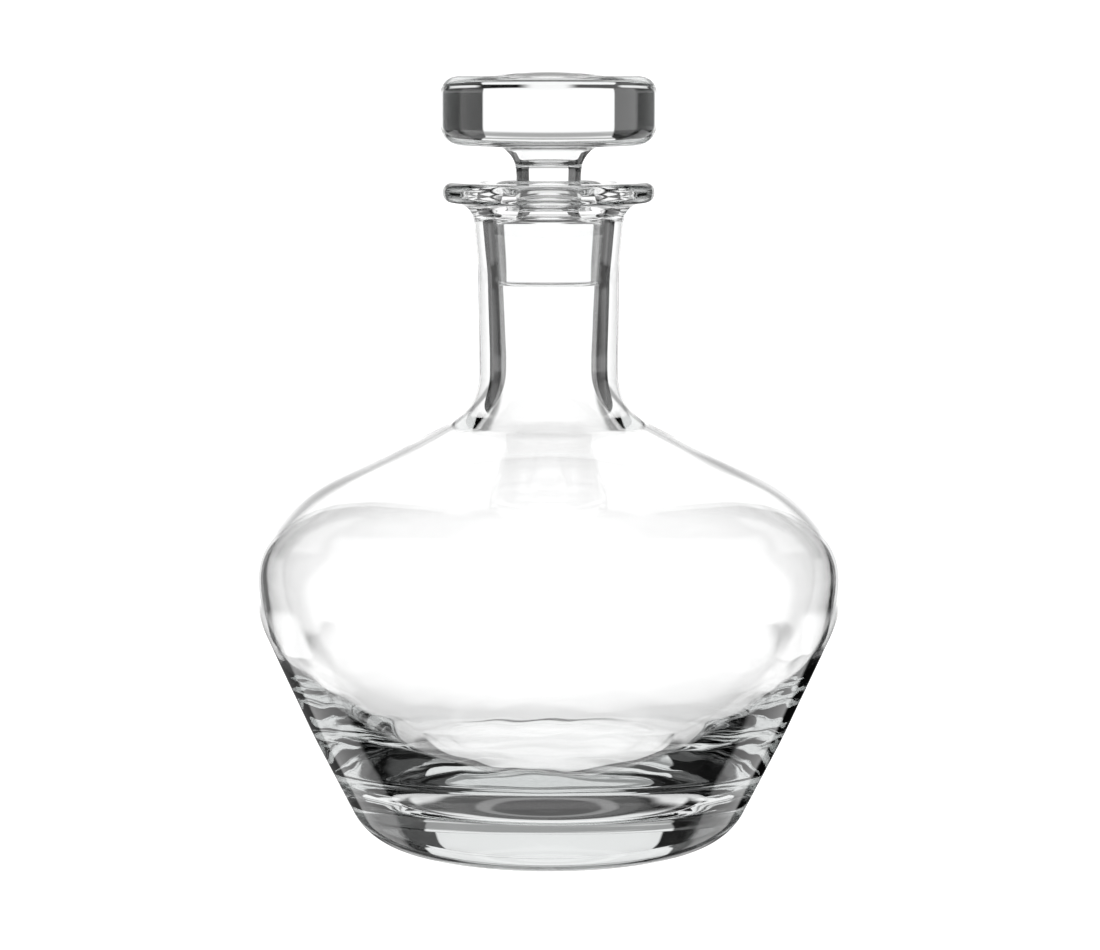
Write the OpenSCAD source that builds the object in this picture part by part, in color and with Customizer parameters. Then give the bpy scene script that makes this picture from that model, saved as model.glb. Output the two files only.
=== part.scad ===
// Stoppered glass decanter: a one-piece blown vessel with a heavy solid base, and a solid glass stopper
// whose tapered plug sits in the matching tapered seat of the neck.
// Both pieces are solids of revolution about Z. Millimetres, +Z up, origin at the middle of the base.
// Each outline is a row of corners [radius, height, rounding] joined by straight lines, and an arc
// tangent to both lines rounds each corner.

/* [Vessel body] */
// Corner diameter of the base, before it is rounded
base_d = 104.6; // [100:0.1:108]
// Rounding between the base and the wall
base_round = 17; // [12:0.5:20]
// Diameter of the bend halfway up the conical wall
wall_d = 136.2; // [135:0.1:138]
// Height of the bend halfway up the conical wall
wall_z = 31.3; // [28:0.1:32.5]
// Radius of the bend halfway up the conical wall
wall_round = 175; // [100:5:250]
// Widest diameter of the body
body_d = 170; // [169.6:0.1:171]
// Height of the corner below the widest part
belly_low_z = 68.6; // [66:0.1:69]
// Rounding below the widest part
belly_low_round = 36.5; // [30:0.5:37]
// Height of the corner above the widest part
belly_top_z = 86.6; // [86.2:0.1:87.4]
// Rounding above the widest part
belly_top_round = 23.5; // [18:0.5:24]
// Diameter of the bend in the shoulder
shoulder_d = 141.2; // [139.8:0.1:142]
// Height of the bend in the shoulder
shoulder_z = 102.1; // [101.4:0.1:102.6]
// Radius of the bend in the shoulder
shoulder_round = 52; // [30:1:54]
// Diameter at which the shoulder starts to sweep up to the neck
sweep_d = 84.2; // [81:0.1:88]
// Height at which the shoulder starts to sweep up to the neck
sweep_z = 114.6; // [114.2:0.1:115.2]
// Radius of that shallow sweep
sweep_round = 255; // [150:5:300]

/* [Vessel neck and mouth] */
// Diameter at the root of the neck
neck_d = 39.8; // [39:0.1:41]
// Height of the corner between shoulder and neck
neck_root_z = 125.6; // [125:0.1:127]
// Rounding between shoulder and neck
neck_root_round = 16.5; // [10:0.5:18]
// Neck diameter where it starts to flare
flare_d = 40.6; // [40:0.1:41.5]
// Height at which the neck starts to flare
flare_z = 167; // [162:0.5:170]
// Radius of the start of the flare
flare_round = 60; // [30:1:70]
// Neck diameter right below the flange
neck_top_d = 44; // [42:0.1:44.4]
// Concave rounding between neck and flange
flange_fillet = 6; // [4:0.2:6.2]
// Outer diameter of the drip flange
flange_d = 60.6; // [60.4:0.1:64]
// Thickness of the drip flange
flange_t = 5.8; // [5.6:0.1:7]
// Rounding of the flange's rim
rim_round = 2.6; // [1:0.1:2.7]
// Height of the mouth
mouth_z = 190.6; // [190:0.1:191]
// Rounding of the mouth's inner edge
mouth_round = 5; // [2:0.5:6]

/* [Vessel inside] */
// Narrowest diameter of the neck's bore
bore_d = 27.6; // [27:0.1:28]
// Height of the narrowest bore
bore_z = 141; // [139:0.5:143]
// Radius of the bend between seat and bore
bore_round = 60; // [20:1:80]
// Inside rounding between neck and shoulder
bore_root_round = 20; // [14:0.5:22]
// Wall thickness of the shoulder and of the widest part
body_wall = 3.6; // [3:0.1:4.2]
// Height at which the cavity starts to narrow below the widest part
bowl_top_z = 76.7; // [72:0.1:76.8]
// How far the cavity keeps its width below that height (first handle of the bowl curve)
bowl_swell = 26.5; // [18:0.5:32]
// Diameter of the cavity's flat floor
floor_d = 77; // [60:0.5:84]
// How softly the floor turns up into the wall (second handle of the bowl curve)
floor_turn = 10.8; // [6:0.2:14]
// Thickness of the solid base under the cavity
floor_z = 17.9; // [16:0.1:22]

/* [Stopper] */
// Diameter of the stopper's head
head_d = 61.8; // [58:0.1:64]
// Height of the underside of the head
head_z = 201; // [199:0.5:204]
// Thickness of the head at its flat ring
head_t = 19.8; // [17:0.1:22]
// Rounding of the head's lower edge
head_low_round = 6; // [3:0.5:8]
// Rounding of the head's upper edge
head_top_round = 5; // [2:0.5:7]
// Diameter of the low dome on top of the head
dome_d = 34; // [24:1:38]
// Height of the low dome
dome_h = 1.3; // [0.5:0.1:2]
// Concave rounding between stem and head
stem_top_round = 7; // [4:0.5:8]
// Stem diameter under the head
stem_top_d = 19.6; // [18:0.1:22]
// Narrowest diameter of the stem
stem_d = 18.8; // [17:0.1:20]
// Height of the narrowest part of the stem
stem_z = 191.5; // [189:0.5:193]
// Radius of the stem's waist
stem_round = 30; // [10:1:40]
// Concave rounding between stem and plug
stem_foot_round = 4; // [2:0.5:5]
// Height of the stem's foot on the plug
stem_foot_z = 183; // [182.5:0.1:184]

/* [Seat] */
// Larger diameter of the tapered plug
plug_top_d = 31.8; // [30:0.1:32.4]
// Smaller diameter of the tapered plug
plug_bottom_d = 29; // [28.6:0.1:29.6]
// Height of the top of the taper
plug_top_z = 180; // [179:0.5:181]
// Height of the bottom of the plug
plug_bottom_z = 161.6; // [160.5:0.1:163]
// Rounding of the plug's top edge
plug_top_round = 1.5; // [0.5:0.1:2.5]
// Rounding of the plug's bottom edge
plug_bottom_round = 0.8; // [0.3:0.1:1.5]
// Radial clearance between plug and seat
seat_gap = 0.04; // [0.02:0.01:0.08]

/* [Hidden] */
// Largest angle of one step along an arc
arc_step = 5;
turn_fn = 180;
glass = [0.86, 0.92, 0.93, 0.4];
plug_slope = (plug_top_d - plug_bottom_d) / 2 / (plug_top_z - plug_bottom_z);
flange_z = mouth_z - flange_t;
head_top_z = head_z + head_t;
cavity_d = body_d - 2 * body_wall;

// Radius of the seat's cone at height z
function seat_r(z) = plug_bottom_d / 2 + plug_slope * (z - plug_bottom_z) + seat_gap;

// Unit vector along v
function unit(v) = v / norm(v);

// v turned by angle a, anticlockwise
function turned(v, a) = [v.x * cos(a) - v.y * sin(a), v.x * sin(a) + v.y * cos(a)];

// Points of the arc of radius r that rounds the corner at c, between its neighbours b and d
function corner_arc(b, c, d, r) =
    let (u = unit(b - c), w = unit(d - c), half = acos(u * w) / 2,
         centre = c + unit(u + w) * r / sin(half),
         start = c + u * r / tan(half) - centre,
         sweep = sign(cross(c - b, d - c)) * (180 - 2 * half),
         steps = max(2, ceil(abs(sweep) / arc_step)))
    [for (i = [0 : steps]) centre + turned(start, sweep * i / steps)];

function xy(corner) = [corner[0], corner[1]];

// Outline through corners [radius, height, rounding]; a rounding of 0 keeps the corner sharp
function rounded_outline(corners) =
    [for (i = [0 : len(corners) - 1])
        each corners[i][2] == 0
            ? [xy(corners[i])]
            : corner_arc(xy(corners[i - 1]), xy(corners[i]), xy(corners[i + 1]), corners[i][2])];

// Where two walls of an outside corner b, set in by their thicknesses, meet inside. a and d are its neighbours
function inside_corner(a, b, d, wall_ab, wall_bd) =
    let (n = turned(unit(b - a), 90), m = turned(unit(d - b), 90), c = n * m)
    b + (n * (wall_ab - c * wall_bd) + m * (wall_bd - c * wall_ab)) / (1 - c * c);

// Inside corner k of the body, parallel to the outside one, with its rounding made larger by grow
function set_in(k, wall_below, wall_above, grow) =
    let (o = vessel_outside, p = inside_corner(xy(o[k - 1]), xy(o[k]), xy(o[k + 1]), wall_below, wall_above))
    [p.x, p.y, o[k][2] + grow];

// Point at t of the curve that leaves p for q and arrives at s from r
function bowl_point(p, q, r, s, t) =
    pow(1 - t, 3) * p + 3 * pow(1 - t, 2) * t * q + 3 * (1 - t) * pow(t, 2) * r + pow(t, 3) * s;

vessel_outside = [
    [0, 0, 0],
    [base_d / 2, 0, base_round],
    [wall_d / 2, wall_z, wall_round],
    [body_d / 2, belly_low_z, belly_low_round],
    [body_d / 2, belly_top_z, belly_top_round],
    [shoulder_d / 2, shoulder_z, shoulder_round],
    [sweep_d / 2, sweep_z, sweep_round],
    [neck_d / 2, neck_root_z, neck_root_round],
    [flare_d / 2, flare_z, flare_round],
    [neck_top_d / 2, flange_z, flange_fillet],
    [flange_d / 2, flange_z, rim_round],
    [flange_d / 2, mouth_z, rim_round],
];

// Numbers of the body's corners in the outside row
belly_top = 4;
shoulder = 5;
sweep = 6;
neck_root = 7;
neck_wall = (neck_d - bore_d) / 2;

vessel_inside = [
    [seat_r(mouth_z), mouth_z, mouth_round],
    [seat_r(plug_bottom_z), plug_bottom_z, 0],
    [bore_d / 2, bore_z, bore_round],
    concat(xy(set_in(neck_root, body_wall, neck_wall, 0)), bore_root_round),
    set_in(sweep, body_wall, body_wall, body_wall),
    set_in(shoulder, body_wall, body_wall, -body_wall),
    set_in(belly_top, body_wall, body_wall, -body_wall),
    [cavity_d / 2, bowl_top_z, 0],
];

bowl_steps = 16;
bowl = [for (i = [1 : bowl_steps])
    bowl_point([cavity_d / 2, bowl_top_z], [cavity_d / 2, bowl_top_z - bowl_swell],
               [floor_d / 2 + floor_turn, floor_z], [floor_d / 2, floor_z], i / bowl_steps)];

stopper_outline = [
    [0, plug_bottom_z, 0],
    [plug_bottom_d / 2, plug_bottom_z, plug_bottom_round],
    [plug_top_d / 2, plug_top_z, plug_top_round],
    [stem_d / 2, stem_foot_z, stem_foot_round],
    [stem_d / 2, stem_z, stem_round],
    [stem_top_d / 2, head_z, stem_top_round],
    [head_d / 2, head_z, head_low_round],
    [head_d / 2, head_top_z, head_top_round],
];

// Radius of the sphere that the dome is a cap of
dome_r = (pow(dome_d / 2, 2) + pow(dome_h, 2)) / (2 * dome_h);
dome_steps = 8;
dome_arc = [for (i = [0 : dome_steps]) let (x = dome_d / 2 * (1 - i / dome_steps))
    [x, head_top_z + dome_h - dome_r + sqrt(pow(dome_r, 2) - pow(x, 2))]];

// Blown vessel: solid base, conical body, wide shoulder, thick neck, drip flange and tapered seat
module vessel() {
    color(glass)
        rotate_extrude($fn = turn_fn)
            polygon(concat(rounded_outline(concat(vessel_outside, vessel_inside)), bowl, [[0, floor_z]]));
}

// Solid stopper: thick round head, waisted stem and tapered plug
module stopper() {
    color(glass)
        rotate_extrude($fn = turn_fn)
            polygon(concat(rounded_outline(concat(stopper_outline, [[dome_d / 2, head_top_z, 0]])), dome_arc));
}

vessel();
stopper();
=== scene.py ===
"""Looks of the stoppered glass decanter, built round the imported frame. Metres, +Z up."""
import math

import bpy
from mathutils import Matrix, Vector


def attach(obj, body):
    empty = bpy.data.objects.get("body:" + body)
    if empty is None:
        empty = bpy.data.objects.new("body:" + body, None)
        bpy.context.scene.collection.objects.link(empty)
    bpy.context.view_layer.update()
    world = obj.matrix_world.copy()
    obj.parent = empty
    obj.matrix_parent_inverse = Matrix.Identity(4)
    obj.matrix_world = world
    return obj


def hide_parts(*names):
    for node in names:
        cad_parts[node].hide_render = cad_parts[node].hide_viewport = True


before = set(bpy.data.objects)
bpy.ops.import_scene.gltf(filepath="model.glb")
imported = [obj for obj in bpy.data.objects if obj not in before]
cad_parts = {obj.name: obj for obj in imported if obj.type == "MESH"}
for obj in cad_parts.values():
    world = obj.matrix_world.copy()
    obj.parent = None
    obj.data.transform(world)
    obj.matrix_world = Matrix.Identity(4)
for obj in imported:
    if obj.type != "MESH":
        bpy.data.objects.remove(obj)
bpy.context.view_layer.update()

MM = 0.001

# Outlines as corners (radius, height, rounding) in millimetres, the same design as the CAD nodes.
SEAT_GAP = 0.04
PLUG_BOTTOM_R, PLUG_BOTTOM_Z = 14.5, 161.6
PLUG_TOP_R, PLUG_TOP_Z = 15.9, 180.0
MOUTH_Z, FLANGE_Z = 190.6, 184.8
HEAD_Z, HEAD_TOP_Z = 201.0, 220.8
DOME_R, DOME_H = 17.0, 1.3
BODY_WALL = 3.6
BORE_R, NECK_R = 13.8, 19.9
CAVITY_R = 85 - BODY_WALL
BOWL_TOP_Z, BOWL_SWELL = 76.7, 26.5
FLOOR_R, FLOOR_TURN, FLOOR_Z = 38.5, 10.8, 17.9


def seat_r(z):
    """Radius of the seat's cone at height z."""
    slope = (PLUG_TOP_R - PLUG_BOTTOM_R) / (PLUG_TOP_Z - PLUG_BOTTOM_Z)
    return PLUG_BOTTOM_R + slope * (z - PLUG_BOTTOM_Z) + SEAT_GAP


VESSEL_OUTSIDE = [
    (0, 0, 0),
    (52.3, 0, 17),
    (68.1, 31.3, 175),
    (85, 68.6, 36.5),
    (85, 86.6, 23.5),
    (70.6, 102.1, 52),
    (42.1, 114.6, 255),
    (NECK_R, 125.6, 16.5),
    (20.3, 167, 60),
    (22, FLANGE_Z, 6),
    (30.3, FLANGE_Z, 2.6),
    (30.3, MOUTH_Z, 2.6),
]
BELLY_TOP, SHOULDER, SWEEP, NECK_ROOT = 4, 5, 6, 7


def set_in(k, wall_below, wall_above, grow):
    """Inside corner k: the walls on both sides of outside corner k, set in by their thicknesses."""
    before, corner, after = (Vector(VESSEL_OUTSIDE[i][:2]) for i in (k - 1, k, k + 1))
    below = (corner - before).normalized()
    above = (after - corner).normalized()
    n, m = Vector((-below.y, below.x)), Vector((-above.y, above.x))
    c = n.dot(m)
    p = corner + (n * (wall_below - c * wall_above) + m * (wall_above - c * wall_below)) / (1 - c * c)
    return (p.x, p.y, VESSEL_OUTSIDE[k][2] + grow)


VESSEL_INSIDE = [
    (seat_r(MOUTH_Z), MOUTH_Z, 5),
    (seat_r(PLUG_BOTTOM_Z), PLUG_BOTTOM_Z, 0),
    (BORE_R, 141, 60),
    (*set_in(NECK_ROOT, BODY_WALL, NECK_R - BORE_R, 0)[:2], 20),
    set_in(SWEEP, BODY_WALL, BODY_WALL, BODY_WALL),
    set_in(SHOULDER, BODY_WALL, BODY_WALL, -BODY_WALL),
    set_in(BELLY_TOP, BODY_WALL, BODY_WALL, -BODY_WALL),
    (CAVITY_R, BOWL_TOP_Z, 0),
]
STOPPER = [
    (0, PLUG_BOTTOM_Z, 0),
    (PLUG_BOTTOM_R, PLUG_BOTTOM_Z, 0.8),
    (PLUG_TOP_R, PLUG_TOP_Z, 1.5),
    (9.4, 183, 4),
    (9.4, 191.5, 30),
    (9.8, HEAD_Z, 7),
    (30.9, HEAD_Z, 6),
    (30.9, HEAD_TOP_Z, 5),
    (DOME_R, HEAD_TOP_Z, 0),
]
BOWL = [
    (CAVITY_R, BOWL_TOP_Z),
    (CAVITY_R, BOWL_TOP_Z - BOWL_SWELL),
    (FLOOR_R + FLOOR_TURN, FLOOR_Z),
    (FLOOR_R, FLOOR_Z),
]


def bowl_curve(steps):
    """The curve from the widest part of the cavity down to its flat floor."""
    p, q, r, s = (Vector(c) for c in BOWL)
    ts = [i / steps for i in range(1, steps + 1)]
    return [p * (1 - t) ** 3 + q * 3 * (1 - t) ** 2 * t + r * 3 * (1 - t) * t ** 2 + s * t ** 3 for t in ts]


def corner_arc(before, corner, after, radius, step):
    """Points of the arc that rounds a corner, one step (in mm) apart or closer."""
    u = (before - corner).normalized()
    w = (after - corner).normalized()
    half = u.angle(w) / 2
    centre = corner + (u + w).normalized() * radius / math.sin(half)
    start = corner + u * radius / math.tan(half) - centre
    turn = (corner - before).cross(after - corner)
    sweep = math.copysign(math.pi - 2 * half, turn)
    steps = max(3, math.ceil(abs(sweep) / math.radians(3)), math.ceil(abs(sweep) * radius / step))
    points = []
    for i in range(steps + 1):
        c, s = math.cos(sweep * i / steps), math.sin(sweep * i / steps)
        points.append(centre + Vector((start.x * c - start.y * s, start.x * s + start.y * c)))
    return points


def rounded_outline(corners, step=1.5):
    """The outline through the corners, with no straight stretch longer than step (mm)."""
    points = []
    for i, (r, z, rounding) in enumerate(corners):
        here = Vector((r, z))
        if rounding == 0:
            points.append(here)
        else:
            before, after = Vector(corners[i - 1][:2]), Vector(corners[i + 1][:2])
            points += corner_arc(before, here, after, rounding, step)
    filled = [points[0]]
    for a, b in zip(points, points[1:]):
        n = max(1, math.ceil((b - a).length / step))
        filled += [a + (b - a) * k / n for k in range(1, n + 1)]
    return filled


def lathe(name, outline, segments, shift=None):
    """A closed solid of revolution. shift(r, z, angle) moves a point by (dr, dz)."""
    verts, faces = [], []
    rings = []
    for p in outline:
        if p.x < 1e-6:
            rings.append([len(verts)])
            verts.append((0, 0, p.y * MM))
            continue
        ring = []
        for k in range(segments):
            a = 2 * math.pi * k / segments
            dr, dz = shift(p.x, p.y, a) if shift else (0, 0)
            ring.append(len(verts))
            verts.append(((p.x + dr) * math.cos(a) * MM, (p.x + dr) * math.sin(a) * MM, (p.y + dz) * MM))
        rings.append(ring)
    for low, high in zip(rings, rings[1:]):
        for k in range(segments):
            n = (k + 1) % segments
            if len(low) == 1 and len(high) == 1:
                continue
            if len(low) == 1:
                faces.append((low[0], high[n], high[k]))
            elif len(high) == 1:
                faces.append((low[k], low[n], high[0]))
            else:
                faces.append((low[k], low[n], high[n], high[k]))
    mesh = bpy.data.meshes.new(name)
    mesh.from_pydata(verts, [], faces)
    mesh.validate()
    mesh.polygons.foreach_set("use_smooth", [True] * len(mesh.polygons))
    mesh.update()
    obj = bpy.data.objects.new(name, mesh)
    bpy.context.scene.collection.objects.link(obj)
    return obj


def glass(name, wave_size, wave_height, haze):
    """Clear crystal: faint waves from the hot working and a trace of haze, both from noise."""
    m = bpy.data.materials.new(name)
    m.use_nodes = True
    nodes, links = m.node_tree.nodes, m.node_tree.links
    b = nodes["Principled BSDF"]
    b.inputs["Base Color"].default_value = (1, 1, 1, 1)
    b.inputs["IOR"].default_value = 1.52
    b.inputs["Transmission Weight"].default_value = 1
    where = nodes.new("ShaderNodeTexCoord")
    waves = nodes.new("ShaderNodeTexNoise")
    waves.inputs["Scale"].default_value = 1 / wave_size
    waves.inputs["Detail"].default_value = 1
    links.new(where.outputs["Object"], waves.inputs["Vector"])
    bump = nodes.new("ShaderNodeBump")
    bump.inputs["Strength"].default_value = 1
    bump.inputs["Distance"].default_value = wave_height
    links.new(waves.outputs["Fac"], bump.inputs["Height"])
    links.new(bump.outputs["Normal"], b.inputs["Normal"])
    bloom = nodes.new("ShaderNodeTexNoise")
    bloom.inputs["Scale"].default_value = 35
    bloom.inputs["Detail"].default_value = 3
    links.new(where.outputs["Object"], bloom.inputs["Vector"])
    rough = nodes.new("ShaderNodeMapRange")
    rough.inputs["From Min"].default_value = 0.45
    rough.inputs["From Max"].default_value = 0.75
    rough.inputs["To Max"].default_value = haze
    links.new(bloom.outputs["Fac"], rough.inputs["Value"])
    links.new(rough.outputs["Result"], b.inputs["Roughness"])
    absorption = nodes.new("ShaderNodeVolumeAbsorption")
    absorption.inputs["Color"].default_value = (0.0, 0.06, 0.05, 1)
    absorption.inputs["Density"].default_value = 3.0
    links.new(absorption.outputs["Volume"], nodes["Material Output"].inputs["Volume"])
    return m


def fade(x, lo, hi):
    """0 below lo, 1 above hi, smooth between."""
    t = min(1, max(0, (x - lo) / (hi - lo)))
    return t * t * (3 - 2 * t)


# The conical wall of the body: its foot, its slope, and how far the dividing line lies inside it
WALL_FOOT_R, WALL_FOOT_Z = 68.1, 31.3
WALL_SLOPE = 0.453
HALF_WALL = 2.1
RIPPLE_TOP_Z = 66
GROOVE_R, GROOVE_WIDTH, GROOVE_DEPTH = 36, 2.4, 0.22
DEEPEST = 0.3


def bowl_ripple(r, z, a):
    """Gentle unevenness (mm) of the hand-worked bowl and cavity floor. The outside keeps its form."""
    middle_of_wall = WALL_FOOT_R - HALF_WALL + WALL_SLOPE * (z - WALL_FOOT_Z)
    if z < FLOOR_Z - 0.01 or z > RIPPLE_TOP_Z or r > middle_of_wall:
        return 0, 0
    rings = 0.10 * math.sin(r / 2.3 + 0.9 * math.sin(a + 0.4)) * fade(r, 20, 30) * (1 - fade(z, 24, 34))
    rings -= GROOVE_DEPTH * math.exp(-((r - GROOVE_R) / GROOVE_WIDTH) ** 2)
    drift = 0.16 * math.sin(2 * a + 0.7) * fade(r, 6, 30) * (1 - fade(z, 40, 60))
    drift += 0.09 * math.sin(3 * a + r / 5 + 1.9) * fade(r, 12, 34) * (1 - fade(z, 40, 60))
    streaks = 0.07 * math.sin(7 * a + z / 3.1) * math.sin(a * 2 + 1 + z / 9) * fade(r, 40, 52)
    streaks += 0.035 * math.sin(17 * a - z / 2.3 + 2 * math.sin(3 * a)) * fade(r, 44, 56)
    side = fade(z, 20, 40) * (1 - fade(z, 56, RIPPLE_TOP_Z))
    return -abs(streaks) * side, max(rings + drift, -DEEPEST) * (1 - side)


FLOOR_RINGS, BOWL_RINGS, DOME_RINGS = 20, 90, 24
VESSEL_SEGMENTS, STOPPER_SEGMENTS, STAGE_SEGMENTS = 256, 192, 96

# Vessel
cavity_floor = [Vector((FLOOR_R * (1 - i / FLOOR_RINGS), FLOOR_Z)) for i in range(1, FLOOR_RINGS + 1)]
vessel_outline = rounded_outline(VESSEL_OUTSIDE + VESSEL_INSIDE) + bowl_curve(BOWL_RINGS) + cavity_floor
vessel = lathe("vessel_glass", vessel_outline, VESSEL_SEGMENTS, bowl_ripple)
vessel.data.materials.append(glass("crystal_vessel", 0.022, 0.00006, 0.03))
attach(vessel, "vessel_body")
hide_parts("vessel")

# Stopper, with a dome that is a cap of a large sphere
dome_sphere = (DOME_R ** 2 + DOME_H ** 2) / (2 * DOME_H)
dome = [Vector((DOME_R * (1 - i / DOME_RINGS), 0)) for i in range(1, DOME_RINGS + 1)]
for p in dome:
    p.y = HEAD_TOP_Z + DOME_H - dome_sphere + math.sqrt(dome_sphere ** 2 - p.x ** 2)
stopper = lathe("stopper_glass", rounded_outline(STOPPER) + dome, STOPPER_SEGMENTS)
stopper.data.materials.append(glass("crystal_stopper", 0.016, 0.00002, 0.02))
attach(stopper, "stopper_body")
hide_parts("stopper")


def stage_material(name, strength):
    """White paper that is evenly lit."""
    m = bpy.data.materials.new(name)
    m.use_nodes = True
    b = m.node_tree.nodes["Principled BSDF"]
    b.inputs["Base Color"].default_value = (0.8, 0.8, 0.8, 1)
    b.inputs["Roughness"].default_value = 0.9
    b.inputs["Emission Color"].default_value = (1, 1, 1, 1)
    b.inputs["Emission Strength"].default_value = strength
    return m


def stage_piece(name, outline, strength):
    """A piece of the stage. Only the camera sees it: the glass sees the studio light instead."""
    obj = lathe(name, outline, STAGE_SEGMENTS)
    obj.data.materials.append(stage_material(name + "_paper", strength))
    obj.visible_glossy = False
    obj.visible_transmission = False
    obj.visible_diffuse = False
    obj.visible_shadow = False


# Stage: a pale floor just under the base, and a pale drum with a lid all round
STAGE_R, STAGE_H, STAGE_FLOOR_Z = 3000, 4000, -0.2
rim = Vector((STAGE_R, STAGE_FLOOR_Z))
stage_piece("floor", [rim, Vector((0, STAGE_FLOOR_Z))], 0.98)
stage_piece("backdrop", [rim, Vector((STAGE_R, STAGE_H)), Vector((0, STAGE_H))], 1.0)

# Studio light, a brightness for each direction. Angles are in degrees
world = bpy.data.worlds.new("studio")
bpy.context.scene.world = world
world.use_nodes = True
world_nodes, world_links = world.node_tree.nodes, world.node_tree.links
world_nodes.clear()


def math_node(op, a, b=None):
    n = world_nodes.new("ShaderNodeMath")
    n.operation = op
    for i, v in enumerate((a, b)):
        if v is None:
            continue
        if hasattr(v, "is_output"):
            world_links.new(v, n.inputs[i])
        else:
            n.inputs[i].default_value = v
    return n.outputs[0]


def above(x, lo, hi):
    """0 below lo, 1 above hi, smooth between."""
    n = world_nodes.new("ShaderNodeMapRange")
    n.interpolation_type = "SMOOTHSTEP"
    world_links.new(x, n.inputs["Value"])
    n.inputs["From Min"].default_value = math.radians(lo)
    n.inputs["From Max"].default_value = math.radians(hi)
    return n.outputs["Result"]


def minus(a, b):
    return math_node("SUBTRACT", a, b)


def both(a, b):
    return math_node("MULTIPLY", a, b)


def below(x, lo, hi):
    """1 below lo, 0 above hi, smooth between."""
    return minus(1, above(x, lo, hi))


def between(x, start, full, last, end):
    """1 from full to last, smoothly down to 0 at start and end."""
    return both(above(x, start, full), below(x, last, end))


def brightest(*parts):
    out = parts[0]
    for p in parts[1:]:
        out = math_node("MAXIMUM", out, p)
    return out


where = world_nodes.new("ShaderNodeTexCoord")
split = world_nodes.new("ShaderNodeSeparateXYZ")
world_links.new(where.outputs["Generated"], split.inputs[0])
x, y, z = split.outputs
elev = math_node("ARCSINE", z)
abs_x = math_node("ABSOLUTE", x)
abs_y = math_node("ABSOLUTE", y)
from_back = math_node("ARCTAN2", abs_x, y)
from_front = math_node("ARCTAN2", abs_x, both(y, -1))
from_side = math_node("ARCTAN2", abs_y, abs_x)
from_corner = math_node("ABSOLUTE", minus(from_back, math.radians(46)))

# Panel behind the object: dimmer at the height that the shoulders see, at its lower edges and low down
shoulder_dip = both(between(elev, 6, 10, 14, 18), 0.72)
edge_dip = both(both(above(from_back, 17, 26), below(elev, -12, -10)), 0.75)
low_dip = both(below(elev, -34, -16), 0.3)
back_level = minus(minus(minus(1.22, shoulder_dip), edge_dip), low_dip)
wide_part = both(below(from_back, 26.0, 27.2), above(elev, -12.5, -10.5))
narrow_part = below(from_back, 5, 12)
foot = both(below(from_back, 14, 21), below(elev, -29, -23))
back_shape = both(brightest(wide_part, narrow_part, foot), between(elev, -45, -38, 50, 62))
back_panel = both(back_shape, back_level)

# Light all round from the sides to the front, and below the dark gaps beside the back panel
around = both(both(above(from_back, 68, 76), between(elev, -37, -33, 26, 30)), 1.1)
corners = both(both(below(from_corner, 13, 18), between(elev, -45, -41, -16, -12)), 1.1)

# Dim fill higher up, in the gaps and near the horizon
side_panels = both(both(below(from_side, 5, 16), between(elev, -8, -7, 30, 50)), 0.22)
front_panel = both(both(below(from_front, 8, 20), between(elev, -8, -7, 20, 35)), 0.1)
grey_side = math_node("GREATER_THAN", both(x, minus(elev, math.radians(6.5))), 0)
grey_strip = both(both(below(from_back, 39.3, 46), grey_side), 0.115)
horizon = both(both(below(elev, -3.4, -2.4), below(from_back, 60, 90)), both(above(elev, -9, -6), 0.10))

# From steeply below and from overhead
steep = both(below(elev, -50, -42), 0.12)
nadir = both(below(elev, -80, -76), 0.9)
upper_ring = both(between(elev, -60, -57, -55, -52), 0.3)
lower_ring = both(between(elev, -73, -70, -68, -65), 0.85)
overhead = both(above(elev, 66, 72), 0.6)
DARKEST = 0.006

main_light = brightest(back_panel, around, corners)
fill = brightest(side_panels, front_panel, grey_strip, horizon, DARKEST)
floor_light = brightest(steep, nadir, upper_ring, lower_ring)
background = world_nodes.new("ShaderNodeBackground")
background.inputs["Color"].default_value = (1, 1, 1, 1)
world_links.new(brightest(main_light, fill, floor_light, overhead), background.inputs["Strength"])
output = world_nodes.new("ShaderNodeOutputWorld")
world_links.new(background.outputs[0], output.inputs[0])

# Camera. Its focal length and shift are in widths of the 1100 x 950 image
SENSOR = 36
FOCAL_LENGTH, SHIFT = 3450 / 1100, 1.3 / 1100
CAMERA_DISTANCE, CAMERA_HEIGHT, CAMERA_PITCH = 0.988, 0.2225, math.radians(6.7)
scene = bpy.context.scene
camera_data = bpy.data.cameras.new("camera")
camera_data.sensor_width = SENSOR
camera_data.lens = FOCAL_LENGTH * SENSOR
camera_data.shift_x = SHIFT
camera = bpy.data.objects.new("camera", camera_data)
camera.location = (0, -CAMERA_DISTANCE, CAMERA_HEIGHT)
camera.rotation_euler = (math.pi / 2 - CAMERA_PITCH, 0, 0)
scene.collection.objects.link(camera)
scene.camera = camera

# Colour as it is, and enough bounces for light through both walls of both pieces
scene.view_settings.view_transform = "Standard"
scene.cycles.max_bounces = 32
scene.cycles.transmission_bounces = 32
scene.cycles.glossy_bounces = 16
scene.cycles.caustics_reflective = True
scene.cycles.caustics_refractive = True
